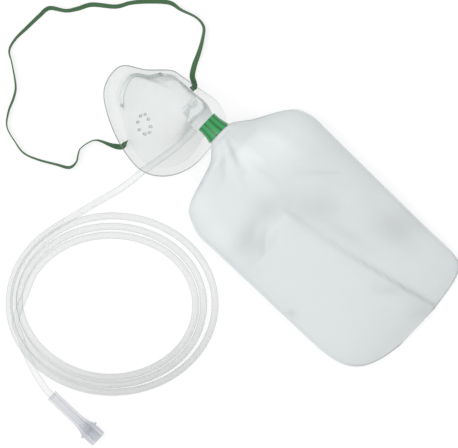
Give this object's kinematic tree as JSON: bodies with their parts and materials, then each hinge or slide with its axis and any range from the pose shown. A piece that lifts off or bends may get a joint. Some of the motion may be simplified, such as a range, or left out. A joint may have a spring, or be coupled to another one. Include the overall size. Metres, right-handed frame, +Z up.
{
  "type": "oxygen face mask",
  "caption": "Clear oxygen face mask with nose clip and elastic head strap, one-way valve connector, reservoir bag, and coiled oxygen tubing with an end connector.",
  "frame": {"origin": "on the surface that the set lies on, in the middle of the box round the mask and the reservoir bag", "axes": "+Y to the mask's nose end and -Y to the bag's far end, +Z up from the surface, -X to the coil of tubing"},
  "size_m": [0.3615, 0.4537, 0.0564],
  "materials": {
    "clear_vinyl": "soft clear vinyl",
    "dull_aluminium": "dull",
    "strap_green": "woven elastic",
    "clear_rigid_plastic": "clear, moulded",
    "silicone": "soft, matte",
    "ring_green": "smooth",
    "frosted_film": "frosted film",
    "clear_tubing": "clear, soft",
    "lilac_vinyl": "translucent, moulded"
  },
  "bodies": {
    "root": {"mask_shell": "clear_vinyl", "nose_clip": "dull_aluminium", "head_strap": "strap_green", "valve_connector": "clear_rigid_plastic", "valve_disc": "silicone", "bag_ring": "ring_green", "reservoir_bag": "frosted_film", "tubing_cuff": "clear_tubing", "tubing_lead": "clear_tubing", "tubing_coil": "clear_tubing", "tubing_tail": "clear_tubing", "end_connector": "lilac_vinyl"}
  },
  "joints": []
}
